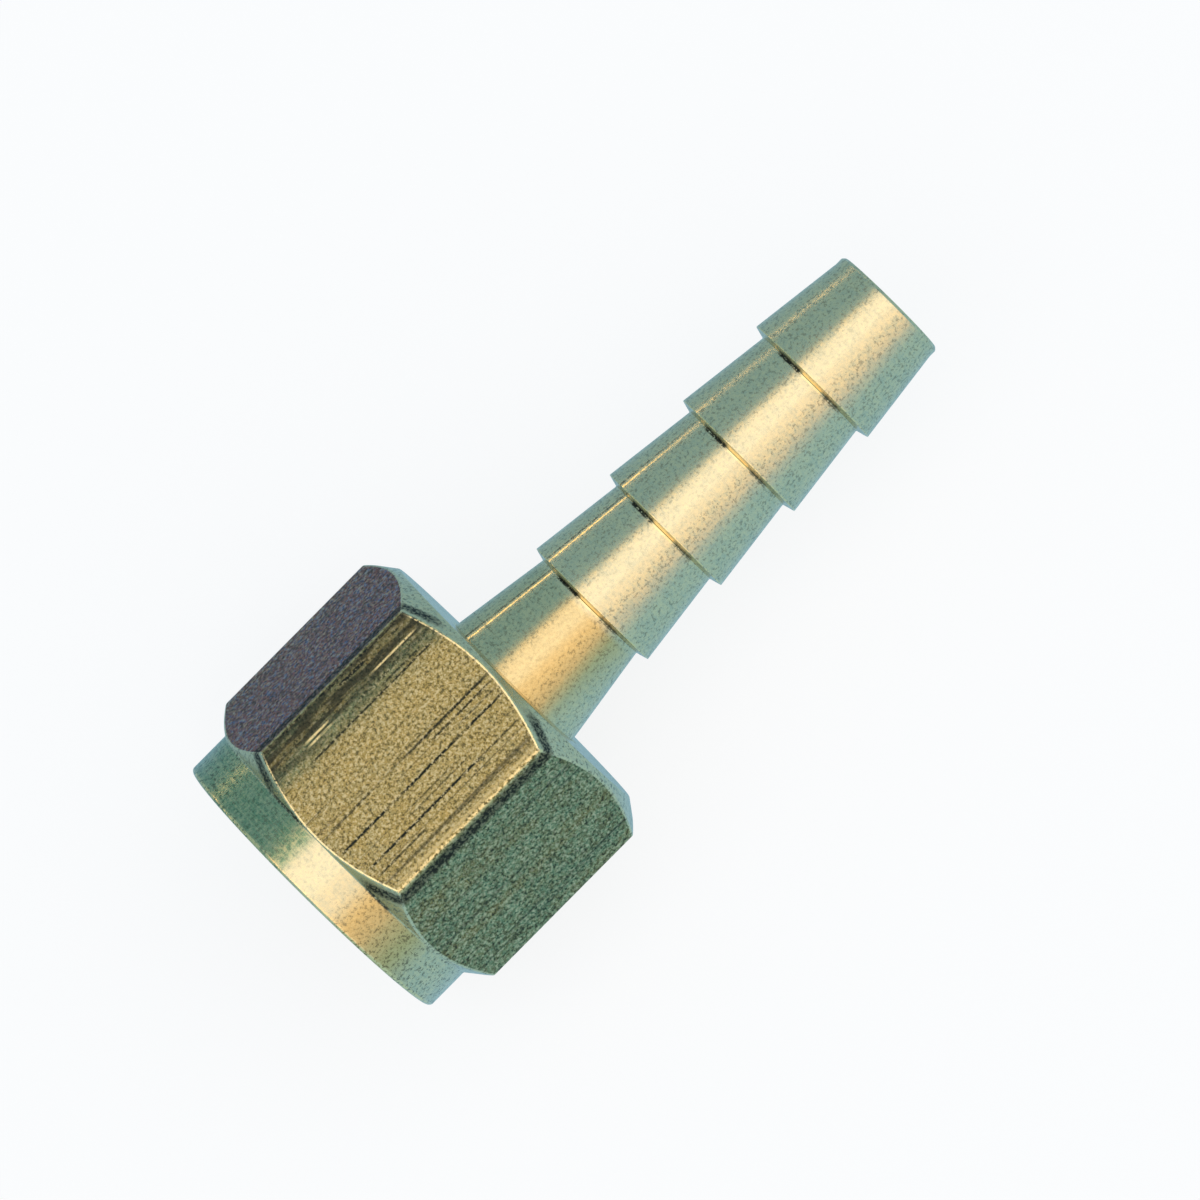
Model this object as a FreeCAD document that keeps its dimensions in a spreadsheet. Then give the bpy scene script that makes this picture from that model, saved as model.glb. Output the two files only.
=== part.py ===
import FreeCAD, Part
import os
import Sketcher

# Barbed swivel fitting: a hexagon union nut that turns on a hose tail with a coned head.
# It lies on one flat of the nut. +X runs along the axis from the nut's open face to the tail's tip,
# +Z is up, and the origin is on the axis at the open face. Sizes are in millimetres and degrees.

SIZES = {
    # Hexagon nut, inside: a G 1/4 thread drawn at its major diameter, relief, shoulder and rear hole
    "thread_diameter": 13.157,
    "thread_height": 0.856,
    "thread_lead": 0.45,
    "relief_step": 0.2215,
    "relief_length": 4.0,
    "shoulder_thickness": 3.36,
    "turning_gap": 0.08,
    "hole_break": 0.2,
    # Hexagon nut, outside: flats a wall's thickness clear of the relief, turned at both ends
    "relief_wall": 1.7,
    "nut_length": 14.56,
    "collar_step": 0.05,
    "collar_length": 2.42,
    "collar_break": 0.12,
    "front_chamfer_angle": 38.0,
    "rear_chamfer_angle": 36.5,
    "rear_face_step": 0.36,
    # Hose tail, outside the nut
    "neck_length": 5.38,
    "barb_diameter": 7.89,
    "barb_height": 0.64,
    "barb_pitch": 5.24,
    "barb_count": 4,
    "barb_lean": 0.175,
    "tip_land": 0.55,
    "tip_break": 0.15,
    # Hose tail, inside the nut: the nut slips on over the barbs, and the flange passes its thread
    "shank_step": 0.17,
    "flange_clearance": 0.27,
    "flange_thickness": 1.4,
    "end_play": 0.1,
    "cone_rise": 1.25,
    "cone_half_angle": 30.0,
    # Flow bore through the tail
    "bore_diameter": 4.5,
    "nose_countersink": 0.6,
    "tip_countersink": 0.2,
}

# Lengths that follow from the sizes above, as the sheet's own formulas. Places on the nut are
# measured from its open face, and places on the tail from the end of its coned nose.
DERIVED = {
    "thread_radius": "thread_diameter / 2",
    "relief_radius": "thread_radius + relief_step",
    "flat_radius": "relief_radius + relief_wall",
    "corner_radius": "flat_radius * 2 / sqrt(3)",
    "collar_radius": "flat_radius - collar_step",
    "rear_face_radius": "flat_radius - rear_face_step",
    "barb_radius": "barb_diameter / 2",
    "root_radius": "barb_radius - barb_height",
    "shank_radius": "barb_radius + shank_step",
    "rear_hole_radius": "shank_radius + turning_gap",
    "shoulder_depth": "nut_length - shoulder_thickness",
    "thread_end": "shoulder_depth - relief_length",
    "flange_radius": "thread_radius - thread_height - flange_clearance",
    "nose_radius": "flange_radius - cone_rise",
    "bore_radius": "bore_diameter / 2",
    "cone_length": "cone_rise / tan(cone_half_angle)",
    "flange_back": "cone_length + flange_thickness",
    "nose_depth": "shoulder_depth - end_play - flange_back",
    "neck_start": "nut_length - nose_depth",
    "first_shoulder": "neck_start + neck_length",
    "barbs_end": "first_shoulder + barb_count * barb_pitch",
    "tail_length": "barbs_end + tip_land",
}

# How far cutting outlines reach past the stock, and how deep a barb is rooted in the tail's core.
OVERCUT = 1.0
ROOTING = 0.6


def make_sheet(doc):
    """Put the driving sizes, and the lengths that follow from them, in one spreadsheet."""
    sheet = doc.addObject("Spreadsheet::Sheet", "Sizes")
    cells = list(SIZES.items())
    cells += [(name, "=" + formula) for name, formula in DERIVED.items()]
    for row, (name, content) in enumerate(cells, start=1):
        sheet.set(f"A{row}", name)
        sheet.set(f"B{row}", str(content))
        sheet.setAlias(f"B{row}", name)
    doc.recompute()
    return sheet


def new_body(doc, name):
    """Make an empty body whose label names its file."""
    body = doc.addObject("PartDesign::Body", name)
    body.Label = name
    return body


def start_sketch(body, name, role):
    """Make a sketch on one of the body's own origin planes."""
    plane = next(item for item in body.Origin.OriginFeatures if item.Role == role)
    sketch = body.newObject("Sketcher::SketchObject", name)
    sketch.AttachmentSupport = [(plane, "")]
    sketch.MapMode = "FlatFace"
    return sketch


def close_outline(sketch, corners):
    """Join the corners with lines, end to end."""
    count = len(corners)
    for index in range(count):
        following = (index + 1) % count
        sketch.addGeometry(Part.LineSegment(corners[index], corners[following]), False)
    for index in range(count):
        following = (index + 1) % count
        sketch.addConstraint(Sketcher.Constraint("Coincident", index, 2, following, 1))


def place_corner(sketch, line, direction, formula, value):
    """Hold the start of a line at a distance from the origin, or on the axis where that is zero.

    In a sketch, -1 is the horizontal axis, whose first point is the origin, and -2 the vertical one.
    """
    if formula == "0":
        axis = -2 if direction == "DistanceX" else -1
        sketch.addConstraint(Sketcher.Constraint("PointOnObject", line, 1, axis))
        return
    index = sketch.addConstraint(Sketcher.Constraint(direction, -1, 1, line, 1, value))
    sketch.setExpression(f"Constraints[{index}]", formula)


def turned_outline(body, name, points):
    """Draw a lathe profile: each point is a formula for its place along the axis and one for its radius."""
    sketch = start_sketch(body, name, "XZ_Plane")
    corners = []
    for along, radius in points:
        place = [float(sketch.evalExpression(formula)) for formula in (along, radius)]
        corners.append(FreeCAD.Vector(place[0], place[1], 0))
    close_outline(sketch, corners)
    for line, (along, radius) in enumerate(points):
        place_corner(sketch, line, "DistanceX", along, corners[line].x)
        place_corner(sketch, line, "DistanceY", radius, corners[line].y)
    return sketch


def hexagon_outline(body, name):
    """Draw a regular hexagon about the axis, with one flat on top."""
    sketch = start_sketch(body, name, "YZ_Plane")
    radius = float(sketch.evalExpression("Sizes.corner_radius"))
    spoke = FreeCAD.Vector(radius, 0, 0)
    turn = FreeCAD.Rotation(FreeCAD.Vector(0, 0, 1), 60)
    corners = []
    for _ in range(6):
        corners.append(FreeCAD.Vector(spoke))
        spoke = turn.multVec(spoke)
    close_outline(sketch, corners)
    circle = Part.Circle(FreeCAD.Vector(0, 0, 0), FreeCAD.Vector(0, 0, 1), radius)
    ring = sketch.addGeometry(circle, True)
    sketch.addConstraint(Sketcher.Constraint("Coincident", ring, 3, -1, 1))
    for line in range(6):
        sketch.addConstraint(Sketcher.Constraint("PointOnObject", line, 1, ring))
    for line in range(1, 6):
        sketch.addConstraint(Sketcher.Constraint("Equal", 0, line))
    sketch.addConstraint(Sketcher.Constraint("Horizontal", 1))
    index = sketch.addConstraint(Sketcher.Constraint("Radius", ring, radius))
    sketch.setExpression(f"Constraints[{index}]", "Sizes.corner_radius")
    return sketch


def turn_solid(body, kind, name, points):
    """Add or cut a turned form about the body's X axis, and check that it changed the body."""
    before = body.Shape.Volume if body.Tip else 0.0
    sketch = turned_outline(body, name + "Outline", points)
    feature = body.newObject("PartDesign::" + kind, name)
    feature.Profile = sketch
    feature.ReferenceAxis = (sketch, ["H_Axis"])
    feature.Angle = 360
    body.Document.recompute()
    change = feature.Shape.Volume - before
    if (kind == "Groove") != (change < 0) or change == 0:
        raise RuntimeError(name + " changed nothing")
    return feature


def build_nut(doc):
    """The union nut: hexagon bar, turned at both ends, then bored from the open face."""
    body = new_body(doc, "swivel_nut")
    hexagon = hexagon_outline(body, "HexagonOutline")
    bar = body.newObject("PartDesign::Pad", "HexagonBar")
    bar.Profile = hexagon
    bar.setExpression("Length", "Sizes.nut_length")
    doc.recompute()

    outside = f"Sizes.corner_radius + {OVERCUT}"
    front_rise = f"(Sizes.corner_radius + {OVERCUT} - Sizes.collar_radius)"
    turn_solid(body, "Groove", "Collar", [
        ("0", "Sizes.collar_radius - Sizes.collar_break"),
        ("Sizes.collar_break", "Sizes.collar_radius"),
        ("Sizes.collar_length", "Sizes.collar_radius"),
        (f"Sizes.collar_length + {front_rise} * tan(Sizes.front_chamfer_angle)", outside),
        ("0", outside),
    ])

    rear_rise = f"(Sizes.corner_radius + {OVERCUT} - Sizes.rear_face_radius)"
    turn_solid(body, "Groove", "RearChamfer", [
        ("Sizes.nut_length", "Sizes.rear_face_radius"),
        ("Sizes.nut_length", outside),
        (f"Sizes.nut_length - {rear_rise} * tan(Sizes.rear_chamfer_angle)", outside),
    ])

    turn_solid(body, "Groove", "NutBore", [
        ("0", "0"),
        ("0", "Sizes.thread_radius + Sizes.thread_lead"),
        ("Sizes.thread_lead", "Sizes.thread_radius"),
        ("Sizes.thread_end", "Sizes.thread_radius"),
        ("Sizes.thread_end", "Sizes.relief_radius"),
        ("Sizes.shoulder_depth", "Sizes.relief_radius"),
        ("Sizes.shoulder_depth", "Sizes.rear_hole_radius + Sizes.hole_break"),
        ("Sizes.shoulder_depth + Sizes.hole_break", "Sizes.rear_hole_radius"),
        ("Sizes.nut_length - Sizes.hole_break", "Sizes.rear_hole_radius"),
        ("Sizes.nut_length", "Sizes.rear_hole_radius + Sizes.hole_break"),
        ("Sizes.nut_length", "0"),
    ])
    return body


def build_tail(doc):
    """The hose tail: coned head, flange, shank and core in one turning, then the barbs and the bore."""
    body = new_body(doc, "hose_tail")
    turn_solid(body, "Revolution", "Core", [
        ("0", "0"),
        ("0", "Sizes.nose_radius"),
        ("Sizes.cone_length", "Sizes.flange_radius"),
        ("Sizes.flange_back", "Sizes.flange_radius"),
        ("Sizes.flange_back", "Sizes.shank_radius"),
        ("Sizes.neck_start", "Sizes.shank_radius"),
        ("Sizes.first_shoulder", "Sizes.root_radius"),
        ("Sizes.tail_length - Sizes.tip_break", "Sizes.root_radius"),
        ("Sizes.tail_length", "Sizes.root_radius - Sizes.tip_break"),
        ("Sizes.tail_length", "0"),
    ])

    barb = turn_solid(body, "Revolution", "Barb", [
        ("Sizes.first_shoulder", f"Sizes.root_radius - {ROOTING}"),
        ("Sizes.first_shoulder", "Sizes.root_radius"),
        ("Sizes.first_shoulder + Sizes.barb_lean", "Sizes.barb_radius"),
        ("Sizes.first_shoulder + Sizes.barb_pitch", "Sizes.root_radius"),
        ("Sizes.first_shoulder + Sizes.barb_pitch", f"Sizes.root_radius - {ROOTING}"),
    ])
    row = body.newObject("PartDesign::LinearPattern", "BarbRow")
    row.Originals = [barb]
    row.Direction = (barb.Profile[0], ["H_Axis"])
    row.Mode = "Spacing"
    row.setExpression("Offset", "Sizes.barb_pitch")
    row.setExpression("Occurrences", "Sizes.barb_count")
    body.Tip = row
    doc.recompute()

    turn_solid(body, "Groove", "FlowBore", [
        ("0", "0"),
        ("0", "Sizes.bore_radius + Sizes.nose_countersink"),
        ("Sizes.nose_countersink", "Sizes.bore_radius"),
        ("Sizes.tail_length - Sizes.tip_countersink", "Sizes.bore_radius"),
        ("Sizes.tail_length", "Sizes.bore_radius + Sizes.tip_countersink"),
        ("Sizes.tail_length", "0"),
    ])
    body.setExpression("Placement.Base.x", "Sizes.nose_depth")
    return body


def check_document(doc, bodies):
    """Stop unless every object is sound and every body is one valid closed solid."""
    for item in doc.Objects:
        if {"Invalid", "Error"} & set(item.State):
            raise RuntimeError(f"{item.Label} failed: {item.State}")
    for body in bodies:
        shape = body.Shape
        if shape.isNull() or not shape.isValid() or len(shape.Solids) != 1:
            raise RuntimeError(f"{body.Label} has no sound solid")


def main():
    doc = FreeCAD.newDocument("BarbedSwivelFitting")
    make_sheet(doc)
    bodies = [build_nut(doc), build_tail(doc)]
    doc.recompute()
    check_document(doc, bodies)
    os.makedirs("parts", exist_ok=True)
    for body in bodies:
        body.Shape.exportStep(f"parts/{body.Label}.step")
        solid = body.Shape.Solids[0]
        print(f"{body.Label}: {solid.Volume:.1f} cubic mm, centre of mass at x {solid.CenterOfMass.x:.2f}")


main()
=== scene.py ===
import math

import bmesh
import bpy
from bpy.props import FloatProperty, FloatVectorProperty, PointerProperty
from mathutils import Matrix, Vector


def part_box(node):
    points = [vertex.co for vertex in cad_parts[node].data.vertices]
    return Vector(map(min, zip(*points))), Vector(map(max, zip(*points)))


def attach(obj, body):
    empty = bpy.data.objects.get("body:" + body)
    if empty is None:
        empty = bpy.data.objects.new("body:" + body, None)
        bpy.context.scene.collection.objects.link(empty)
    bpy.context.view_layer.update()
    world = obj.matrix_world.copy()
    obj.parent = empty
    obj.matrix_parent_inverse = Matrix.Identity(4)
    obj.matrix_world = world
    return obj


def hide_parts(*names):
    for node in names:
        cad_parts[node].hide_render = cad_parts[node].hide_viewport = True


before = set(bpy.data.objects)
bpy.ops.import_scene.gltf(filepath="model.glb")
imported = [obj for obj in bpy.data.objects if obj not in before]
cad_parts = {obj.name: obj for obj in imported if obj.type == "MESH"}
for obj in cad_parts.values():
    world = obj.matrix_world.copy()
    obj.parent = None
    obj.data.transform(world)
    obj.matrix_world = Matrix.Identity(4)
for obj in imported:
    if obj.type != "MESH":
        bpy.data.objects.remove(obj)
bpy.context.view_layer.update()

bl_info = {
    "name": "Barbed swivel fitting",
    "version": (1, 0, 0),
    "blender": (4, 5, 0),
    "location": "3D View > Sidebar > Fitting",
    "description": "Makes the turned and drawn brass of a hose tail and its union nut",
    "category": "Object",
}

# The fitting lies along +X from the nut's open face, and radii are from its axis.
MM = 0.001
NUT_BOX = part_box("swivel_nut")
TAIL_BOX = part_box("hose_tail")
SECTOR = math.radians(60)
COLUMNS_IN_SECTOR = 48
NUT_COLUMNS = 6 * COLUMNS_IN_SECTOR
TAIL_COLUMNS = 192
THREAD_ROWS = 60
NUT_CORNER_ROWS = 6 * 13
BARBS = 4


def length(name, description, millimetres):
    """A length property whose default is given in millimetres."""
    metres = millimetres * MM
    return FloatProperty(name=name, description=description, default=metres, unit="LENGTH", precision=5)


def angle(name, description, degrees):
    """An angle property whose default is given in degrees."""
    radians = math.radians(degrees)
    return FloatProperty(name=name, description=description, default=radians, unit="ROTATION")


def number(name, description, value):
    """A plain number property."""
    return FloatProperty(name=name, description=description, default=value)


def colour(name, description, rgb):
    """A colour property: linear red, green and blue."""
    limits = {"min": 0, "max": 1}
    return FloatVectorProperty(name=name, description=description, default=rgb, subtype="COLOR", **limits)


class FittingNutSizes(bpy.types.PropertyGroup):
    flat_distance: length("Flat distance", "From the axis to a flat", NUT_BOX[1].z / MM)
    nut_length: length("Length", "Open face to rear face", NUT_BOX[1].x / MM)
    collar_step: length("Collar step", "How far the collar lies under the flats", 0.05)
    collar_length: length("Collar length", "Length of the round collar", 2.42)
    collar_break: length("Collar edge break", "Chamfer on the collar's front edge", 0.12)
    front_slope: angle("Front chamfer", "Angle of the front chamfer from the end plane", 38)
    rear_slope: angle("Rear chamfer", "Angle of the rear chamfer from the end plane", 36.5)
    rear_face_step: length("Rear face step", "How far the rear face's edge lies under the flats", 0.36)
    thread_radius: length("Thread radius", "Major radius of the thread", 6.5785)
    thread_height: length("Thread height", "From root to crest", 0.856)
    thread_pitch: length("Thread pitch", "Advance in one turn, right-hand", 1.337)
    thread_lead: length("Thread lead", "Chamfer at the thread's mouth", 0.45)
    thread_end: length("Thread end", "Depth at which the relief starts", 7.2)
    relief_radius: length("Relief radius", "Radius of the relief behind the thread", 6.8)
    shoulder_depth: length("Shoulder depth", "Depth of the inner shoulder", 11.2)
    rear_hole_radius: length("Rear hole radius", "Hole that the shank turns in", 4.195)
    hole_break: length("Hole edge break", "Chamfer on both edges of the rear hole", 0.2)
    edge_round: length("Edge rounding", "How far a worn edge is rounded back", 0.07)
    corner_sharpness: number("Corner sharpness", "Higher is a sharper corner of the hexagon", 190)


class FittingTailSizes(bpy.types.PropertyGroup):
    nose_place: length("Nose", "Where the coned nose ends", TAIL_BOX[0].x / MM)
    tip_place: length("Tip", "Where the hose end stops", TAIL_BOX[1].x / MM)
    nose_radius: length("Nose radius", "Radius of the nose's face", 4.2025)
    cone_length: length("Cone length", "Length of the 60 degree seat", 2.165)
    flange_radius: length("Flange radius", "Radius of the flange inside the nut", 5.4525)
    flange_thickness: length("Flange thickness", "Thickness of the flange", 1.4)
    shank_radius: length("Shank radius", "Radius where the nut turns", 4.115)
    neck_start: length("Neck start", "Where the first cone leaves the nut", NUT_BOX[1].x / MM)
    neck_length: length("Neck length", "Length of the first cone", 5.38)
    barb_radius: length("Barb radius", "Radius over a barb's crest", 3.945)
    root_radius: length("Root radius", "Radius at a barb's foot", 3.305)
    barb_pitch: length("Barb pitch", "From one shoulder to the next", 5.24)
    barb_lean: length("Barb lean", "How far a shoulder leans towards the tip", 0.175)
    tip_break: length("Tip edge break", "Chamfer on the tip's outer edge", 0.15)
    bore_radius: length("Bore radius", "Radius of the flow bore", 2.25)
    nose_countersink: length("Nose countersink", "Chamfer where the bore opens in the nose", 0.6)
    tip_countersink: length("Tip countersink", "Chamfer where the bore opens in the tip", 0.2)
    edge_round: length("Edge rounding", "How far an edge is rounded back", 0.045)


class FittingFinish(bpy.types.PropertyGroup):
    turned_brass: colour("Turned brass", "Fresh metal left by the lathe", (0.76, 0.62, 0.36))
    drawn_brass: colour("Drawn brass", "Flats of the hexagon bar", (0.370, 0.262, 0.082))
    # This colour also paints shade on the collar towards -Y and at the neck's highlight edge.
    golden_brass: colour("Golden brass", "Where the metal has yellowed", (0.70, 0.44, 0.13))
    film: colour("Film", "Grey-green film on the metal", (0.40, 0.46, 0.34))
    # Painted shade: this dark green darkens the shaded sides of the collar, the neck and the flats.
    dark_film: colour("Dark film", "Thicker green film on the bar's side", (0.205, 0.315, 0.17))
    # The next two colours are painted shade on the flats towards +Y.
    stain: colour("Stain", "Red-brown stain on one side", (0.42, 0.080, 0.060))
    blue_stain: colour("Blue stain", "Blue tint in that stain", (0.13, 0.13, 0.27))
    # This dark colour is also laid as painted shade.
    grime: colour("Grime", "What gathers in draw lines, pits and creases", (0.032, 0.034, 0.026))
    # This colour also paints highlights on edges, along a line on the tail and in its creases.
    burnish: colour("Burnish", "Edges rubbed bright", (0.98, 0.72, 0.33))
    lathe_step: length("Lathe mark spacing", "Spacing of the turning marks", 0.08)
    mottle_size: length("Mottle size", "Size of the patches of film", 0.8)
    bump_height: length("Bump height", "Height of turning marks, draw lines and pits", 0.008)


class FittingStage(bpy.types.PropertyGroup):
    floor_colour: colour("Floor", "Plain pale floor", (0.92, 0.92, 0.92))
    floor_half_width: length("Floor half width", "From the middle of the floor to its side", 900)
    lean_to_tip: angle("Lean to the tip", "Tilt of the view towards the tip", 0.673)
    lean_to_side: angle("Lean to the side", "Tilt of the view towards -Y", 10.802)
    roll: angle("Roll", "Angle of the axis in the picture", 45.286)
    distance: length("Camera distance", "From the aim to the camera", 366.2)
    focal_length: number("Focal length", "In millimetres, on a 36 mm sensor", 218.32)
    aim_along: length("Aim", "Place on the axis that the camera aims at", 20.4)
    aim_right: length("Aim shift", "Move of the aim towards the picture's right", 0.198)


class Value:
    """A socket that can be used in an expression: each operator adds a Math node to its tree."""

    def __init__(self, tree, socket):
        self.tree = tree
        self.socket = socket

    def maths(self, operation, *values):
        return self.tree.add("ShaderNodeMath", {"operation": operation}, dict(enumerate((self, *values))))

    def maths_after(self, operation, first):
        return self.tree.add("ShaderNodeMath", {"operation": operation}, {0: first, 1: self})

    def __add__(self, other):
        return self.maths("ADD", other)

    def __radd__(self, other):
        return self.maths_after("ADD", other)

    def __sub__(self, other):
        return self.maths("SUBTRACT", other)

    def __rsub__(self, other):
        return self.maths_after("SUBTRACT", other)

    def __mul__(self, other):
        return self.maths("MULTIPLY", other)

    def __rmul__(self, other):
        return self.maths_after("MULTIPLY", other)

    def __truediv__(self, other):
        return self.maths("DIVIDE", other)

    def __rtruediv__(self, other):
        return self.maths_after("DIVIDE", other)

    def __pow__(self, other):
        return self.maths("POWER", other)

    def __mod__(self, other):
        return self.maths("FLOORED_MODULO", other)

    def __abs__(self):
        return self.maths("ABSOLUTE")

    def floor(self):
        return self.maths("FLOOR")

    def sine(self):
        return self.maths("SINE")

    def cosine(self):
        return self.maths("COSINE")

    def tangent(self):
        return self.maths("TANGENT")

    def at_most(self, other):
        return self.maths("MINIMUM", other)

    def at_least(self, other):
        return self.maths("MAXIMUM", other)

    def ramp(self, low, high):
        """0 below low and 1 above high, eased; low may be the larger, for a fall."""
        values = {"Value": self, "From Min": low, "From Max": high}
        return self.tree.add("ShaderNodeMapRange", {"interpolation_type": "SMOOTHSTEP"}, values)


class Tree:
    """A node tree that grows as expressions are written."""

    def __init__(self, nodes):
        self.nodes = nodes

    def add(self, kind, settings, values, output=0):
        """Add a node: its settings first, then the values or links of its sockets."""
        node = self.nodes.nodes.new(kind)
        for name, setting in settings.items():
            if name == "choices":
                for _ in range(setting - len(node.index_switch_items)):
                    node.index_switch_items.new()
            else:
                setattr(node, name, setting)
        for name, value in values.items():
            if isinstance(value, Value):
                self.nodes.links.new(value.socket, node.inputs[name])
            else:
                node.inputs[name].default_value = value
        return None if output is None else Value(self, node.outputs[output])

    def split(self, vector):
        """The three parts of a vector."""
        first = self.add("ShaderNodeSeparateXYZ", {}, {0: vector})
        return [Value(self, socket) for socket in first.socket.node.outputs]

    def join(self, x, y, z):
        """A vector of three parts."""
        return self.add("ShaderNodeCombineXYZ", {}, {0: x, 1: y, 2: z})

    def mix(self, factor, first, second):
        """Blend two colours."""
        return self.add("ShaderNodeMix", {"data_type": "RGBA"}, {0: factor, 6: first, 7: second}, 2)

    def pick(self, row, numbers):
        """Give each row its own number."""
        settings = {"data_type": "FLOAT", "choices": len(numbers)}
        return self.add("GeometryNodeIndexSwitch", settings, dict(enumerate((row, *numbers))))


# A turned form is rows swept round the axis. A corner of its outline is (along, radius, edge, flat): its
# place along the axis, its radius, whether it is a worn edge (1), a crease (-1) or neither (0), and whether
# what follows it is a flat of the hexagon (1). A row holds the same four.
ROWS_AT_CORNER = 6
SHARE_OF_ROUND = (0.0, 0.0, 0.33, 0.67, 1.0, 1.0)
ROW_IS_OUTSIDE_ROUND = (1, 0, 0, 0, 0, 1)

# A corner's rounding reaches along each side by the edge rounding, but over no more than this share of the
# side. The rows outside it stand further off by these shares of the side and of the rounding.
LONGEST_REACH = 0.45
LONGEST_REACH_OUTSIDE = 0.03
REACH_OUTSIDE = 0.6

# Keeps a point's place in the grid from being rounded down to the number before its own.
ROUNDING_GUARD = 0.25
MERGE_DISTANCE = 0.0005 * MM

# The thread's profile is a cosine, raised and cut off at its crest and root.
THREAD_SWING = 0.6
THREAD_MIDDLE = 0.5
RUN_OUT_TURNS = 0.5

# Wear starts and is full at these angles from the middle of a flat, just inside the hexagon's corners.
CORNER_WEAR = (math.radians(29.0), math.radians(29.8))


def rounded(tree, row, corners, edge_round):
    """Round each corner over less than half of the sides beside it, and hold the sides straight up to it.

    The first and last corners are only there as neighbours.
    """
    number_of_corner = (row / ROWS_AT_CORNER).floor()
    part = row - number_of_corner * ROWS_AT_CORNER

    def around(shift, what):
        shifted = corners[1 + shift:len(corners) - 1 + shift]
        return tree.pick(number_of_corner, [corner[what] for corner in shifted])

    along = around(0, 0)
    radius = around(0, 1)
    back = (along - around(-1, 0), radius - around(-1, 1))
    ahead = (around(1, 0) - along, around(1, 1) - radius)
    outside = tree.pick(part, ROW_IS_OUTSIDE_ROUND)
    share = tree.pick(part, SHARE_OF_ROUND)
    reach = edge_round * (outside * REACH_OUTSIDE + 1)
    limit = outside * LONGEST_REACH_OUTSIDE + LONGEST_REACH
    moves = []
    for side, weight in ((back, (1 - share) ** 2), (ahead, share ** 2)):
        span = (side[0] * side[0] + side[1] * side[1]) ** 0.5
        moves.append((span * limit).at_most(reach) * weight / span)
    along = along - back[0] * moves[0] + ahead[0] * moves[1]
    radius = radius - back[1] * moves[0] + ahead[1] * moves[1]
    edge = around(0, 2) * (1 - outside)
    flat = outside * (around(-1, 3) * (1 - share) + around(0, 3) * share)
    return along, radius, edge, flat


def swept(tree, columns, count):
    """A grid of columns round the axis and rows along the outline, with the number of each at every point."""
    grid = tree.add("GeometryNodeMeshGrid", {}, {
        "Size X": float(columns),
        "Size Y": float(count),
        "Vertices X": columns + 1,
        "Vertices Y": count + 1,
    })
    spots = tree.split(tree.add("GeometryNodeInputPosition", {}, {}))
    column = (spots[0] + (columns / 2 + ROUNDING_GUARD)).floor() % columns
    row = (spots[1] + (count / 2 + ROUNDING_GUARD)).floor() % count
    return grid, column, row


def finished(tree, grid, outline, turn, corner_wear, material):
    """Put every point in its place, close the seams and keep the marks that the material reads."""
    along, radius, edge, flat = outline
    marked = tree.add("GeometryNodeStoreNamedAttribute", {"data_type": "FLOAT_VECTOR", "domain": "POINT"}, {
        "Geometry": grid,
        "Name": "marks",
        "Value": tree.join(edge.at_least(flat * corner_wear), flat, 0.0),
    })
    place = tree.join(along, radius * turn.cosine(), radius * turn.sine())
    swept_form = tree.add("GeometryNodeSetPosition", {}, {"Geometry": marked, "Position": place})
    closed = tree.add("GeometryNodeMergeByDistance", {}, {"Geometry": swept_form, "Distance": MERGE_DISTANCE})
    smooth = tree.add("GeometryNodeSetShadeSmooth", {}, {"Geometry": closed})
    real = tree.add("GeometryNodeRealizeInstances", {}, {"Geometry": smooth})
    return tree.add("GeometryNodeSetMaterial", {}, {"Geometry": real, "Material": material})


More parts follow.
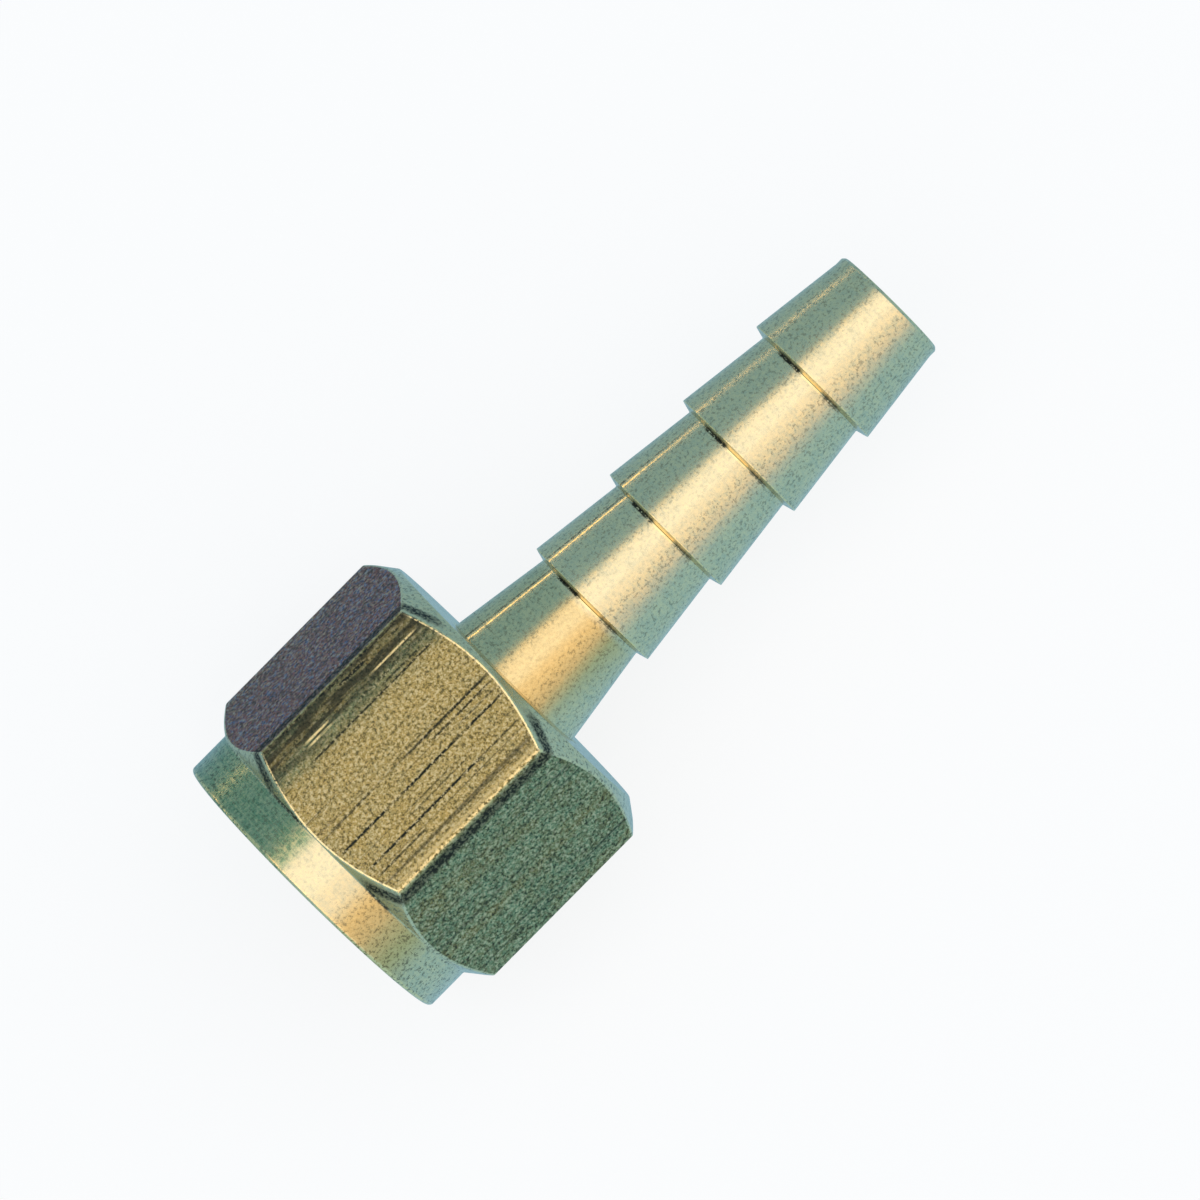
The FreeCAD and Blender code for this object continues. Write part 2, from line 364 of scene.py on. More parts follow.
def nut_form(tree, size, material):
    """The nut: turned where its radius is the lathe's, and a flat of the bar wherever that lies deeper."""
    rear_hole = size["rear_hole_radius"]
    collar = size["flat_distance"] - size["collar_step"]
    rear_face = size["flat_distance"] - size["rear_face_step"]
    grid, column, row = swept(tree, NUT_COLUMNS, NUT_CORNER_ROWS + THREAD_ROWS + 1)

    # Columns crowd towards the hexagon's corners. "lean" is the angle from the middle of a flat.
    sector = (column / COLUMNS_IN_SECTOR).floor()
    across = (column - sector * COLUMNS_IN_SECTOR) * (2 / COLUMNS_IN_SECTOR) - 1
    lean = (across * (math.pi / 2)).sine() * (SECTOR / 2)
    turn = (sector + 0.5) * SECTOR + lean
    near_flat = lean.cosine() ** size["corner_sharpness"]
    next_flat = (SECTOR - abs(lean)).cosine() ** size["corner_sharpness"]
    hexagon = size["flat_distance"] / (near_flat + next_flat) ** (1 / size["corner_sharpness"])

    front_start = size["collar_length"] + (hexagon - collar) * size["front_slope"].tangent()
    rear_start = size["nut_length"] - (hexagon - rear_face) * size["rear_slope"].tangent()
    mouth = size["thread_radius"] + size["thread_lead"]
    hole_edge = rear_hole + size["hole_break"]
    zero = size["collar_step"] * 0
    corners = [
        (size["thread_lead"], size["thread_radius"], 0, 0),
        (zero, mouth, 1, 0),
        (zero, collar - size["collar_break"], 1, 0),
        (size["collar_break"], collar, 1, 0),
        (size["collar_length"], collar, -1, 0),
        (front_start, hexagon, 1, 1),
        (rear_start, hexagon, 1, 0),
        (size["nut_length"], rear_face, 1, 0),
        (size["nut_length"], hole_edge, 1, 0),
        (size["nut_length"] - size["hole_break"], rear_hole, 0, 0),
        (size["shoulder_depth"] + size["hole_break"], rear_hole, 0, 0),
        (size["shoulder_depth"], hole_edge, 0, 0),
        (size["shoulder_depth"], size["relief_radius"], -1, 0),
        (size["thread_end"], size["relief_radius"], 0, 0),
        (size["thread_end"], size["thread_radius"], 0, 0),
    ]
    outline = rounded(tree, row.at_most(NUT_CORNER_ROWS - 1), corners, size["edge_round"])

    # The thread is cut by the mouth's chamfer at one end and runs out at the other.
    step = (size["thread_end"] - size["thread_lead"]) / THREAD_ROWS
    along = size["thread_end"] - step * (row - NUT_CORNER_ROWS)
    swing = (along / size["thread_pitch"] * math.tau - turn).cosine() * THREAD_SWING
    wave = (swing + THREAD_MIDDLE).at_least(0).at_most(1)
    run_out = (size["thread_end"] - along).ramp(0.0, size["thread_pitch"] * RUN_OUT_TURNS)
    ridge = size["thread_radius"] - size["thread_height"] * wave * run_out
    chamfer = size["thread_radius"] + size["thread_lead"] - along
    threaded = (row + 1 - NUT_CORNER_ROWS).at_least(0).at_most(1)
    thread = (along, ridge.at_least(chamfer), 0.0, 0.0)
    outline = [tree.pick(threaded, pair) for pair in zip(outline, thread)]

    return finished(tree, grid, outline, turn, abs(lean).ramp(*CORNER_WEAR), material)


def tail_form(tree, size, material):
    """The tail: one closed outline of seat, flange, shank, barbs and bore."""
    first_shoulder = size["neck_start"] + size["neck_length"]
    flange_back = size["nose_place"] + size["cone_length"] + size["flange_thickness"]
    corners = [
        (size["nose_place"], size["bore_radius"] + size["nose_countersink"], 0, 0),
        (size["nose_place"], size["nose_radius"], 1, 0),
        (size["nose_place"] + size["cone_length"], size["flange_radius"], 1, 0),
        (flange_back, size["flange_radius"], 1, 0),
        (flange_back, size["shank_radius"], -1, 0),
        (size["neck_start"], size["shank_radius"], 0, 0),
    ]
    for barb in range(BARBS):
        shoulder = first_shoulder + size["barb_pitch"] * barb
        corners.append((shoulder, size["root_radius"], -1, 0))
        corners.append((shoulder + size["barb_lean"], size["barb_radius"], 1, 0))
    land = first_shoulder + size["barb_pitch"] * BARBS
    corners += [
        (land, size["root_radius"], 0, 0),
        (size["tip_place"] - size["tip_break"], size["root_radius"], 0, 0),
        (size["tip_place"], size["root_radius"] - size["tip_break"], 1, 0),
        (size["tip_place"], size["bore_radius"] + size["tip_countersink"], 1, 0),
        (size["tip_place"] - size["tip_countersink"], size["bore_radius"], 0, 0),
        (size["nose_place"] + size["nose_countersink"], size["bore_radius"], 0, 0),
    ]
    grid, column, row = swept(tree, TAIL_COLUMNS, ROWS_AT_CORNER * len(corners))
    outline = rounded(tree, row, [corners[-1], *corners, corners[0]], size["edge_round"])
    turn = column * (math.tau / TAIL_COLUMNS)
    return finished(tree, grid, outline, turn, 0.0, material)


def made_by_nodes(name, form, sizes, material):
    """Grow a piece from a Geometry Nodes tree with the sizes as its named inputs, and keep the plain mesh."""
    group = bpy.data.node_groups.new(name, "GeometryNodeTree")
    group.interface.new_socket(name="Form", in_out="OUTPUT", socket_type="NodeSocketGeometry")
    sockets = {}
    for key in sizes.__annotations__:
        about = sizes.bl_rna.properties[key]
        socket = group.interface.new_socket(name=about.name, in_out="INPUT", socket_type="NodeSocketFloat")
        socket.description = about.description
        socket.default_value = about.default
        sockets[key] = socket
    finish = group.interface.new_socket(name="Finish", in_out="INPUT", socket_type="NodeSocketMaterial")

    tree = Tree(group)
    given = group.nodes.new("NodeGroupInput")
    size = {key: Value(tree, given.outputs[socket.identifier]) for key, socket in sockets.items()}
    shaped = form(tree, size, Value(tree, given.outputs[finish.identifier]))
    tree.add("NodeGroupOutput", {}, {0: shaped}, None)

    piece = bpy.data.objects.new(name, bpy.data.meshes.new(name + "_start"))
    bpy.context.scene.collection.objects.link(piece)
    modifier = piece.modifiers.new(name, "NODES")
    modifier.node_group = group
    for key, socket in sockets.items():
        modifier[socket.identifier] = getattr(sizes, key)
    modifier[finish.identifier] = material
    depsgraph = bpy.context.evaluated_depsgraph_get()
    mesh = bpy.data.meshes.new_from_object(piece.evaluated_get(depsgraph), depsgraph=depsgraph)
    piece.modifiers.remove(modifier)
    start = piece.data
    piece.data = mesh
    mesh.name = name
    bpy.data.meshes.remove(start)

    shell = bmesh.new()
    shell.from_mesh(mesh)
    bmesh.ops.recalc_face_normals(shell, faces=shell.faces)
    open_edges = [edge for edge in shell.edges if not edge.is_manifold]
    shell.to_mesh(mesh)
    shell.free()
    if not mesh.polygons or open_edges:
        raise RuntimeError(f"{name}: the form isn't one closed shell, with {len(open_edges)} open edges")
    return piece


def opaque(rgb):
    """A colour with full alpha, as a node's socket wants it."""
    return (*rgb, 1.0)


def noise(tree, place, scale, detail=2.0, roughness=0.5, stretch=(1, 1, 1)):
    """Noise with patches about 1/scale long in place's unit, and longer where stretch is under 1."""
    scales = tuple(scale * share for share in stretch)
    drawn = tree.add("ShaderNodeMapping", {}, {"Vector": place, "Scale": scales})
    return tree.add("ShaderNodeTexNoise", {"noise_dimensions": "3D"}, {
        "Vector": drawn,
        "Scale": 1.0,
        "Detail": detail,
        "Roughness": roughness,
    })


def bump_between(value, low, high, soft):
    """One between two limits and nothing outside them, with soft ends."""
    return value.ramp(low, low + soft) * value.ramp(high, high - soft)


# What a piece's patches can be, each from 0 to 1: yellowed metal with painted shade, painted shade on turned
# metal and on flats, the rough sides of the bar, painted shade on flats tinted red-brown and blue, dark marks
# with painted shade, smoother bright marks with painted highlights, and edges kept out of the painted edge
# highlight.
PATCHES = ("golden", "dark_turned", "dark_flat", "sides", "stained", "grimy", "bright", "dull")

# How many patches of grain, and of tint, lie along one patch of mottle.
GRAIN_IN_MOTTLE = 4.6
TINT_IN_MOTTLE = 3.1

# How each noise is stretched along X, Y and Z. Near 0 is long: round the axis on turned metal, and along it
# on the bar. BROAD_LATHE_SHARE is how many broad rings there are to a fine one.
LATHE_STRETCH = (1, 0.006, 0.006)
BROAD_LATHE_STRETCH = (1, 0.02, 0.02)
BROAD_LATHE_SHARE = 0.12
DRAW_MARKS_PER_METRE = 3500
DRAW_STRETCH = (0.012, 1, 1)
BROAD_DRAW_MARKS_PER_METRE = 700
BROAD_DRAW_STRETCH = (0.05, 1, 1)

# Where the highlight falls on the turned metal, a painted highlight gives it less film and fewer pits: from
# and to, and how soft its ends are. Angles are round the axis from straight up, towards +Y.
CLEAN_SECTOR = (math.radians(-26), math.radians(6), math.radians(8))


def brass(name, finish, size, find_patches):
    """Brass off the lathe, and off the draw bench on the flats, with film, worn edges, pits and dark grit.

    Painted highlights and painted shade lie in its colour too. A number beside a mask is how strongly it
    shows.
    """
    material = bpy.data.materials.new(name)
    material.use_nodes = True
    material.node_tree.nodes.clear()
    tree = Tree(material.node_tree)
    place = tree.add("ShaderNodeTexCoord", {}, {}, "Object")
    x, y, z = (part / MM for part in tree.split(place))
    edge, flat, _ = tree.split(tree.add("ShaderNodeAttribute", {"attribute_name": "marks"}, {}, "Vector"))
    turned = 1 - flat
    worn = edge.at_least(0)
    crease = (edge * -1).at_least(0)

    mottle = noise(tree, place, 1 / finish.mottle_size, 4.0, 0.62)
    grain = noise(tree, place, GRAIN_IN_MOTTLE / finish.mottle_size, 2.0, 0.75)
    tint = noise(tree, place, TINT_IN_MOTTLE / finish.mottle_size, 2.0, 0.75)
    rings = noise(tree, place, 1 / finish.lathe_step, 2.0, 0.6, LATHE_STRETCH)
    broad_rings = noise(tree, place, BROAD_LATHE_SHARE / finish.lathe_step, 2.0, 0.5, BROAD_LATHE_STRETCH)
    streaks = noise(tree, place, DRAW_MARKS_PER_METRE, 3.0, 0.65, DRAW_STRETCH)
    broad_streaks = noise(tree, place, BROAD_DRAW_MARKS_PER_METRE, 2.0, 0.5, BROAD_DRAW_STRETCH)

    patch = {**dict.fromkeys(PATCHES, 0.0), **find_patches(size, x, y, z, grain)}
    film = (mottle * 0.4 + tint * 0.6).ramp(0.38, 0.62)
    speck = grain.ramp(0.51, 0.63)
    pit = grain.ramp(0.48, 0.36)
    lines = streaks.ramp(0.53, 0.68) * broad_streaks.ramp(0.35, 0.58)
    # Painted highlight: where the highlight falls, the turned metal has less film and fewer pits.
    clean = bump_between(y.maths("ARCTAN2", z), *CLEAN_SECTOR) * turned
    # Creases are a little darker, and the patch added here also holds painted shade.
    dirt = (crease * 0.12).at_least(patch["grimy"])
    # Worn edges take the bright edge colour: wear, and also a painted edge highlight, held off edges away
    # from the top.
    rubbed = worn * (tint * 0.5 + grain * 0.5).ramp(0.43, 0.53) * (1 - patch["dull"] * 0.85)

    def coated(metal, share, shade):
        return tree.mix(share, metal, opaque(shade))

    lathe_colour = coated(opaque(finish.turned_brass), film * (0.50 - clean * 0.25), finish.film)
    # Painted shade on the turned metal, darker and greener on its +Y side.
    lathe_colour = coated(lathe_colour, patch["dark_turned"] * (film * 0.3 + 0.69), finish.dark_film)
    lathe_colour = coated(lathe_colour, rings.ramp(0.42, 0.62) * 0.12, finish.burnish)
    # Yellowed metal, which also paints shade on the collar and at the neck's highlight edge.
    lathe_colour = coated(lathe_colour, patch["golden"], finish.golden_brass)

    bar_colour = coated(opaque(finish.drawn_brass), film * 0.16, finish.film)
    # Painted shade on the flats, in the dark green colour.
    dark = patch["dark_flat"] * (film * 0.5 + broad_streaks.ramp(0.38, 0.60) * 0.38)
    bar_colour = coated(bar_colour, dark, finish.dark_film)
    # Painted shade on the +Y flats, in red-brown and blue.
    stain_colour = coated(opaque(finish.stain), tint.ramp(0.50, 0.58), finish.blue_stain)
    bar_colour = tree.mix(patch["stained"] * 0.85, bar_colour, stain_colour)
    yellowed = tint.ramp(0.50, 0.60) * (1 - patch["sides"])
    bar_colour = coated(bar_colour, yellowed * 0.36, finish.golden_brass)
    speck_share = 0.52 + patch["sides"] * 0.14 - patch["stained"] * 0.15
    bar_colour = coated(bar_colour, speck * speck_share, finish.turned_brass)
    # Dark clots on the side flats, heavier where the flats have painted shade.
    clots = tint.ramp(0.49, 0.42) * patch["sides"]
    bar_colour = coated(bar_colour, clots * (0.38 + patch["stained"] * 0.30), finish.grime)
    bar_colour = coated(bar_colour, lines * 0.7, finish.grime)

    metal = tree.mix(flat, lathe_colour, bar_colour)
    depth = flat * 0.20 + patch["sides"] * 0.2 + 0.42 - clean * 0.34
    metal = coated(metal, pit * depth, finish.grime)
    metal = coated(metal, speck * turned * 0.22, finish.burnish)
    # Bright marks: dashes on the upper flat, and painted highlights on the tail.
    metal = coated(metal, patch["bright"] * 0.8, finish.burnish)
    metal = coated(metal, dirt, finish.grime)
    metal = coated(metal, rubbed * 0.9, finish.burnish)

    gloss = 0.20 + film * 0.08 + flat * 0.22 + dirt * 0.2 + pit * 0.1 - rubbed * 0.06 - patch["bright"] * 0.13
    lathe_marks = turned * (rings * 0.6 + broad_rings * 0.5)
    draw_marks = flat * (streaks * 0.9 + grain * 1.2)
    bump = tree.add("ShaderNodeBump", {}, {
        "Strength": 0.5,
        "Distance": finish.bump_height,
        "Height": lathe_marks + draw_marks + grain * 0.4,
    })
    shader = tree.add("ShaderNodeBsdfPrincipled", {}, {
        "Base Color": metal,
        "Metallic": 1.0,
        "Roughness": gloss,
        "Normal": bump,
    })
    tree.add("ShaderNodeOutputMaterial", {}, {"Surface": shader}, None)
    return material


# Lines that the draw bench left on the upper flat: place across it, half width, depth of tone, and from where
# to where along it. All but the depth are in millimetres.
UPPER_LINES = (
    (4.80, 0.16, 1.00, 3, 14.2),
    (4.50, 0.16, 1.00, 7.9, 10.9),
    (4.45, 0.10, 0.85, 11.4, 13.6),
    (4.10, 0.12, 0.60, 4, 14),
    (3.30, 0.16, 0.70, 8, 14),
    (3.00, 0.09, 0.80, 9.6, 13.2),
    (2.75, 0.09, 0.90, 4.6, 13.8),
    (1.90, 0.05, 0.30, 3, 9),
    (-0.12, 0.06, 0.40, 7.5, 12),
    (-0.36, 0.09, 0.60, 3, 6.4),
    (-0.36, 0.10, 0.90, 8, 14.4),
    (-0.72, 0.09, 0.85, 9.5, 14.4),
    (-1.11, 0.08, 0.60, 11, 14.4),
    (-1.55, 0.10, 1.00, 2.5, 14.4),
    (-2.33, 0.06, 0.50, 6, 10.2),
    (-2.60, 0.07, 0.55, 6, 11),
    (-3.05, 0.10, 1.00, 3, 11.5),
    (-3.05, 0.08, 0.60, 10, 14),
    (-3.63, 0.09, 0.85, 3, 7),
    (-4.20, 0.07, 0.40, 5, 13),
)

# Bright dashes on the same flat, given in the same way. A line fades over its last part, and is at its full
# depth over this share of its width.
PALE_DASHES = (
    (3.42, 0.09, 0.9, 5.0, 7.4),
    (3.65, 0.09, 0.9, 5.0, 7.4),
    (3.80, 0.08, 0.9, 9.8, 13.6),
    (-4.60, 0.12, 0.35, 3.4, 13.6),
)
LINE_END_FADE = 0.8
LINE_CORE = 0.3


def nut_patches(size, x, y, z, grain):
    """The nut's patches, with every place in millimetres.

    The collar has painted shade: yellow-brown towards -Y and dark towards +Y. Of the flats, those at -Y have
    painted shade in dark green, those at +Y have painted shade tinted red-brown and blue above a soft border,
    and the upper one carries draw lines and a painted dark band towards +Y. Painted shade lies in a strip
    under the upper flat's corners, the crease behind the collar is darker in two places, and edges away from
    the top get no painted edge highlight.
    """
    tree = x.tree
    top = size.flat_distance / MM
    corner = top * math.tan(SECTOR / 2)
    collar_end = size.collar_length / MM
    rear_end = size.nut_length / MM

    hexagon = x.ramp(collar_end - 0.12, collar_end + 0.08)
    collar = 1 - hexagon
    # Painted shade: the collar turns yellow-brown towards -Y, where its highlight falls off.
    golden = bump_between(y, -7.6, -2.9, 1.3) * z.ramp(-3, 3) * collar * 0.75
    # Painted shade: the collar darkens towards +Y, where its highlight ends.
    dark_collar = y.ramp(-0.35, 0.5) * collar

    upper = z.ramp(top - 0.05, top - 0.01)
    # Painted shade: the flats towards -Y are dark green, and the upper flat darkens towards +Y.
    dark_side = y.ramp(-corner, -corner - 0.2) * 0.9
    dark_flat = dark_side.at_least(y.ramp(2.0, 3.4) * upper)
    # Painted shade on the flats towards +Y, tinted red-brown and blue, above a soft border.
    stained = y.ramp(corner, corner + 0.2) * z.ramp(-7, 3)
    # Edges below the top and at the +Y corner get no painted edge highlight.
    dull = z.ramp(top - 0.15, top - 0.35).at_least(y.ramp(4.3, 4.6)) * hexagon

    breaks = noise(tree, tree.join(x, y * 4, z), 0.9).ramp(0.28, 0.44)
    broken = (breaks * 0.6 + 0.4) * grain.ramp(0.70, 0.50)

    def along_flat(lines):
        total = x * 0
        for across, half_width, depth, start, stop in lines:
            line = abs(y - across).ramp(half_width, half_width * LINE_CORE) * depth
            total = total.at_least(line * bump_between(x, start, stop, LINE_END_FADE))
        return total * broken

    dashes = noise(tree, tree.join(x * 0.15, y, 0.0), 2.6).ramp(0.38, 0.56)
    # Painted shade: a dark band along the upper flat towards +Y.
    band = y.ramp(2.0, 4.0) * (0.50 + dashes * 0.38)
    pale = along_flat(PALE_DASHES) * upper
    tone = band.at_least(along_flat(UPPER_LINES)) * upper * (1 - pale)

    # Painted shade in a strip under the upper flat's corners.
    below_corner = bump_between(z, top - 0.95, top - 0.12, 0.25) * abs(y).ramp(2.6, 3.8)
    below_corner = below_corner * bump_between(x, collar_end - 0.12, rear_end - 0.1, 0.2)
    below_corner = below_corner * (0.62 + grain.ramp(0.56, 0.44) * 0.38)
    # Darker in two places of the crease behind the collar.
    behind_collar = bump_between(x, collar_end - 0.10, collar_end + 0.14, 0.08) * grain.ramp(0.70, 0.46)
    two_places = bump_between(y, 0.6, 3.4, 0.5).at_least(bump_between(y, -5.2, -3.2, 0.5))
    return {
        "golden": golden,
        "dark_turned": dark_collar,
        "dark_flat": dark_flat,
        "sides": abs(y).ramp(corner, corner + 0.2),
        "stained": stained,
        "grimy": tone.at_least(below_corner).at_least(behind_collar * two_places * 0.9),
        "bright": pale,
        "dull": dull,
    }


def tail_patches(size, x, y, z, grain):
    """The tail's patches, with every place in millimetres.

    The neck is yellowed, with painted shade in green towards +Y and in yellow-brown at its highlight's edge
    towards -Y. A painted highlight line, smoother than the metal round it, runs along the neck and the first
    barbs with a painted dark line beside it. Each crease has painted shade in two places and a painted
    highlight between them, for what its shoulder mirrors. A dark ring lies on the neck towards +Y.
    """
    neck_start = size.neck_start / MM
    first_crease = neck_start + size.neck_length / MM
    pitch = size.barb_pitch / MM
    neck = x.ramp(first_crease, first_crease - 0.5)
    # Painted shade: the neck darkens and greens towards +Y, where its highlight ends.
    green = neck * y.ramp(0.1, 0.9)
    # Yellowed neck, deepened as painted shade at the highlight's edge towards -Y, and less where the green
    # shade lies.
    golden = neck * (0.50 + y.ramp(-0.6, -1.4) * 0.22) * y.ramp(-3.7, -2.3) - green * 0.42

    turn = y.maths("ARCTAN2", z)

    # Painted lines along the axis at a given angle round it, a painted highlight and a painted dark line, for
    # reflections.
    def scratch(degrees, half_width, core):
        near = abs(turn - math.radians(degrees)).ramp(math.radians(half_width), math.radians(core))
        return near * x.ramp(34, 24)

    past = (x - first_crease + pitch / 2) % pitch - pitch / 2
    in_crease = bump_between(past, -0.15, 0.14, 0.08) * bump_between(x, 18, 37, 1)
    # Painted highlight in each crease, between its two patches of painted shade, for what the shoulder
    # mirrors.
    bare = in_crease * bump_between(y, -1.4, 0.1, 0.2)
    clotted = bump_between(y, -0.05, 1.85, 0.35).at_least(bump_between(y, -2.6, -1.25, 0.35) * 0.65)
    # Painted shade in two places of each crease, broken by grain.
    clots = in_crease * z.ramp(0.5, 1.5) * clotted * grain.ramp(0.68, 0.46)
    ring = abs(x - (neck_start + 1.08)).ramp(0.07, 0.0) * y.ramp(0.5, 2.5) * 0.4
    # A dark ring on the neck towards +Y, and a painted dark line beside the painted highlight line.
    scuffs = ring.at_least(scratch(43.4, 1.5, 0.5) * 0.6) * grain.ramp(0.66, 0.50)
    return {
        "golden": golden,
        "dark_turned": green * 0.3,
        "grimy": clots.at_least(scuffs),
        "bright": scratch(39.7, 1.6, 0.6).at_least(bare),
    }


def placed(piece, node, body):
    """Let a piece stand for its CAD node and move with its body."""
    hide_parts(node)
    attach(piece, body)


class FittingMakeNut(bpy.types.Operator):
    """Make the union nut, with its thread"""

    bl_idname = "fitting.make_nut"
    bl_label = "Union nut"

    def execute(self, context):
        scene = context.scene
        material = brass("drawn_and_turned_brass", scene.fitting_finish, scene.fitting_nut, nut_patches)
        piece = made_by_nodes("union_nut", nut_form, scene.fitting_nut, material)
        placed(piece, "swivel_nut", "nut")
        return {"FINISHED"}


class FittingMakeTail(bpy.types.Operator):
    """Make the barbed hose tail"""

    bl_idname = "fitting.make_tail"
    bl_label = "Hose tail"

    def execute(self, context):
        scene = context.scene
        material = brass("turned_brass", scene.fitting_finish, scene.fitting_tail, tail_patches)
        piece = made_by_nodes("barbed_tail", tail_form, scene.fitting_tail, material)
        placed(piece, "hose_tail", "tail")
        return {"FINISHED"}


# Long soft boxes: name, degrees from straight up towards -Y, distance and width in metres, radiance, colour.
SOFT_BOXES = (
    ("gold_edge", -21.0, 0.50, 0.040, 0.95, (1.0, 0.60, 0.18)),
    ("overhead", -0.5, 0.50, 0.318, 1.09, (1.0, 0.78, 0.64)),
    ("near_fill", 25.5, 0.52, 0.145, 0.95, (1.0, 0.64, 0.36)),
    ("mid_fill", 41.0, 0.54, 0.150, 0.76, (1.0, 0.54, 0.12)),
    ("far_fill", 56.5, 0.56, 0.155, 0.52, (1.0, 0.44, 0.02)),
    ("side_fill", 72.0, 0.58, 0.155, 0.16, (1.0, 0.40, 0.0)),
    ("low_strip", -90.5, 0.30, 0.008, 3.00, (1.0, 0.62, 0.22)),
)
SOFT_BOX_LENGTH = 1.1

# The room's two colours lie towards -Y and +Y, and the turn between them is by the direction's Y.
ROOM_COLOURS = ((0.32, 0.57, 0.78), (0.24, 0.42, 0.55))
ROOM_TURN = (-0.8, 0.8)
ROOM_STRENGTH = 1.2
FLOOR_GLOW = 0.84
LIGHT_PATH_OUTPUTS = ("Is Camera Ray", "Is Glossy Ray", "Is Transmission Ray")
SENSOR_WIDTH = 36


def make_surroundings(stage):
    """A plain pale floor and a white backdrop all round.

    The white is a cut-out's, so the metal mirrors the dim room behind it and not the white.
    """
    half = stage.floor_half_width
    height = NUT_BOX[0].z
    floor_mesh = bpy.data.meshes.new("floor")
    corners = [(-half, -half, height), (half, -half, height), (half, half, height), (-half, half, height)]
    floor_mesh.from_pydata(corners, [], [(0, 1, 2, 3)])
    dome_mesh = bpy.data.meshes.new("backdrop")
    dome_shell = bmesh.new()
    bmesh.ops.create_uvsphere(dome_shell, u_segments=48, v_segments=24, radius=half)
    dome_shell.to_mesh(dome_mesh)
    dome_shell.free()
    surfaces = (("floor", floor_mesh, FLOOR_GLOW, True), ("backdrop", dome_mesh, 1.0, False))
    for name, mesh, glow, lights_the_fitting in surfaces:
        material = bpy.data.materials.new("pale_" + name)
        material.use_nodes = True
        material.node_tree.nodes.clear()
        tree = Tree(material.node_tree)
        seen = [tree.add("ShaderNodeLightPath", {}, {}, kind) for kind in LIGHT_PATH_OUTPUTS]
        white = seen[0].at_least(seen[1]).at_least(seen[2]) * glow
        matt = tree.add("ShaderNodeBsdfDiffuse", {}, {"Color": opaque(stage.floor_colour)})
        plain_white = tree.add("ShaderNodeEmission", {}, {"Color": opaque((1, 1, 1)), "Strength": 1.0})
        shader = tree.add("ShaderNodeMixShader", {}, {0: white, 1: matt, 2: plain_white})
        tree.add("ShaderNodeOutputMaterial", {}, {"Surface": shader}, None)
        mesh.materials.append(material)
        surface = bpy.data.objects.new(name, mesh)
        bpy.context.scene.collection.objects.link(surface)
        surface.visible_glossy = False
        surface.visible_diffuse = lights_the_fitting
        surface.visible_shadow = lights_the_fitting


def make_lights(middle):
    """Long soft boxes over the fitting, in line with its axis, and a dim room."""
    for name, lean, distance, across, radiance, tint in SOFT_BOXES:
        lamp = bpy.data.lights.new(name, "AREA")
        lamp.shape = "RECTANGLE"
        lamp.size = SOFT_BOX_LENGTH
        lamp.size_y = across
        lamp.energy = radiance * math.pi * across * SOFT_BOX_LENGTH
        lamp.color = tint
        box = bpy.data.objects.new(name, lamp)
        tilt = math.radians(lean)
        back = Vector((0, -math.sin(tilt), math.cos(tilt)))
        right = Vector((1, 0, 0))
        box.matrix_world = turned_to(right, back.cross(right), back, middle + back * distance)
        box.visible_camera = False
        bpy.context.scene.collection.objects.link(box)
    world = bpy.data.worlds.new("room")
    world.use_nodes = True
    world.node_tree.nodes.clear()
    tree = Tree(world.node_tree)
    towards = tree.split(tree.add("ShaderNodeTexCoord", {}, {}, "Generated"))
    room = tree.mix(towards[1].ramp(*ROOM_TURN), *(opaque(shade) for shade in ROOM_COLOURS))
    background = tree.add("ShaderNodeBackground", {}, {"Color": room, "Strength": ROOM_STRENGTH})
    tree.add("ShaderNodeOutputWorld", {}, {"Surface": background}, None)
    bpy.context.scene.world = world


def turned_to(right, up, back, place):
    """The matrix of an object that looks along -back, from a place."""
    matrix = Matrix((right, up, back)).transposed().to_4x4()
    matrix.translation = place
    return matrix


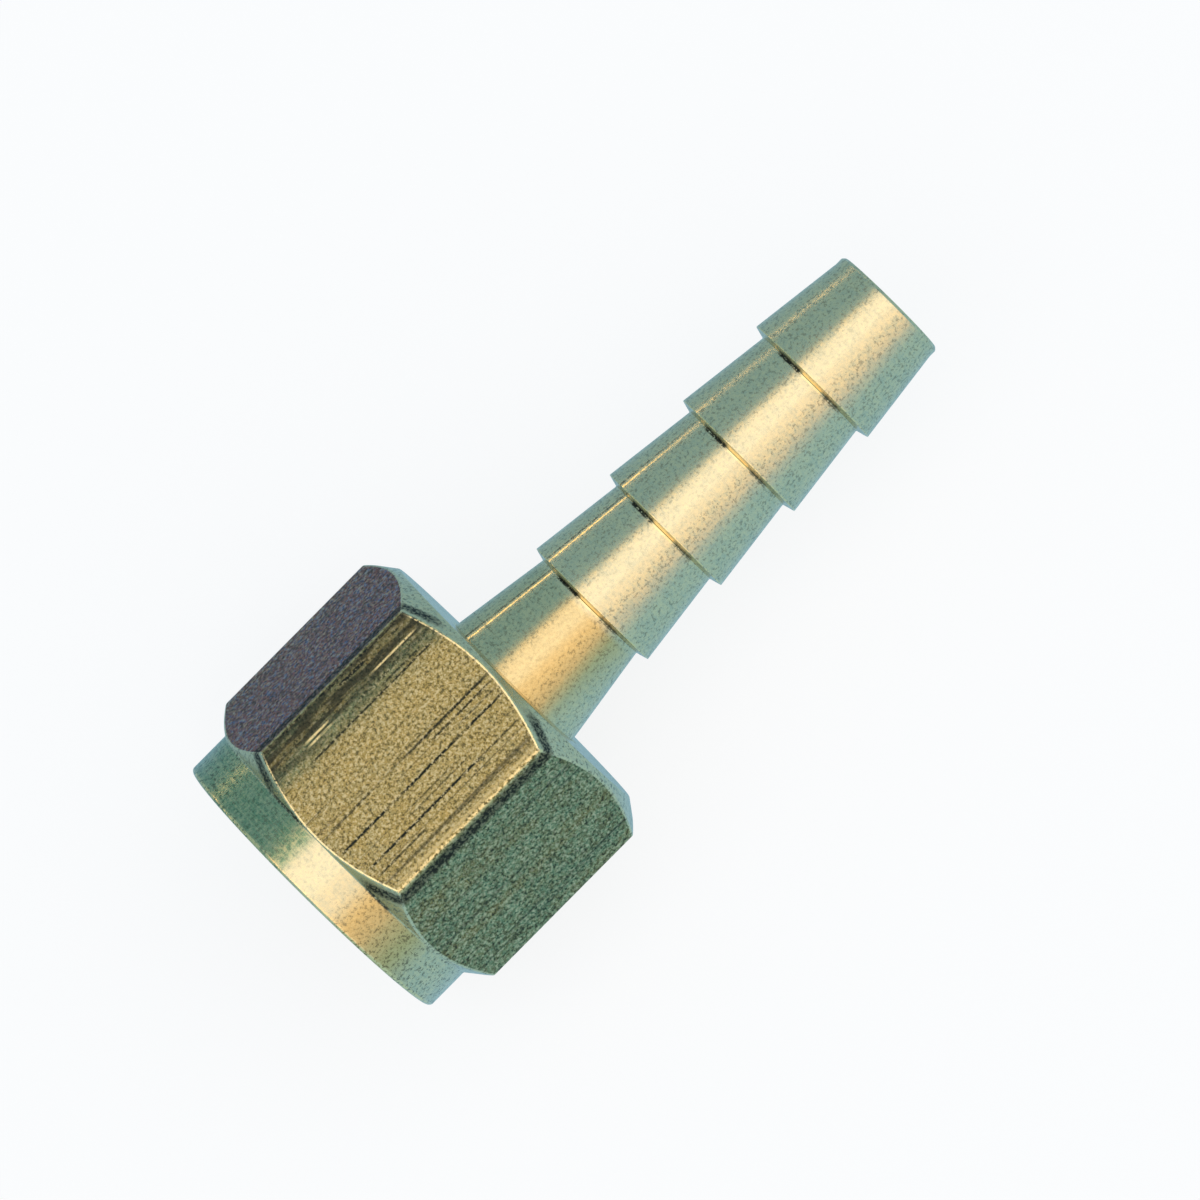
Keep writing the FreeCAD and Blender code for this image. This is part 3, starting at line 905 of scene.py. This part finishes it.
def make_camera(stage):
    """A long lens over the fitting, with the axis on the picture's diagonal."""
    back = Vector((math.tan(stage.lean_to_tip), -math.tan(stage.lean_to_side), 1)).normalized()
    along = (Vector((1, 0, 0)) - back * back.x).normalized()
    across = along.cross(back)
    right = along * math.cos(stage.roll) + across * math.sin(stage.roll)
    up = along * math.sin(stage.roll) - across * math.cos(stage.roll)
    lens = bpy.data.cameras.new("camera")
    lens.sensor_width = SENSOR_WIDTH
    lens.lens = stage.focal_length
    camera = bpy.data.objects.new("camera", lens)
    aim = Vector((stage.aim_along, 0, 0)) + right * stage.aim_right
    camera.matrix_world = turned_to(right, up, back, aim + back * stage.distance)
    bpy.context.scene.collection.objects.link(camera)
    bpy.context.scene.camera = camera


class FittingMakeStage(bpy.types.Operator):
    """Make the floor, the soft boxes and the camera"""

    bl_idname = "fitting.make_stage"
    bl_label = "Stage"

    def execute(self, context):
        stage = context.scene.fitting_stage
        make_surroundings(stage)
        make_lights(Vector(((TAIL_BOX[1].x + NUT_BOX[0].x) / 2, 0, 0)))
        make_camera(stage)
        context.scene.view_settings.view_transform = "Standard"
        return {"FINISHED"}


class FittingPanel(bpy.types.Panel):
    """The fitting's pieces and their sizes"""

    bl_idname = "FITTING_PT_pieces"
    bl_label = "Barbed swivel fitting"
    bl_space_type = "VIEW_3D"
    bl_region_type = "UI"
    bl_category = "Fitting"

    def draw(self, context):
        for operator, group_name in PANEL_ROWS:
            box = self.layout.box()
            box.operator(operator)
            group = getattr(context.scene, group_name)
            for key in group.__annotations__:
                box.prop(group, key)
        finish = self.layout.box()
        finish.label(text="Finish")
        for key in context.scene.fitting_finish.__annotations__:
            finish.prop(context.scene.fitting_finish, key)


PANEL_ROWS = (
    ("fitting.make_nut", "fitting_nut"),
    ("fitting.make_tail", "fitting_tail"),
    ("fitting.make_stage", "fitting_stage"),
)
GROUPS = {
    "fitting_nut": FittingNutSizes,
    "fitting_tail": FittingTailSizes,
    "fitting_finish": FittingFinish,
    "fitting_stage": FittingStage,
}
CLASSES = (*GROUPS.values(), FittingMakeNut, FittingMakeTail, FittingMakeStage, FittingPanel)


def register():
    for each in CLASSES:
        bpy.utils.register_class(each)
    for name, group in GROUPS.items():
        setattr(bpy.types.Scene, name, PointerProperty(type=group))


def unregister():
    for name in GROUPS:
        delattr(bpy.types.Scene, name)
    for each in reversed(CLASSES):
        bpy.utils.unregister_class(each)


def main():
    register()
    bpy.ops.fitting.make_nut()
    bpy.ops.fitting.make_tail()
    bpy.ops.fitting.make_stage()


if __name__ == "__main__":
    main()
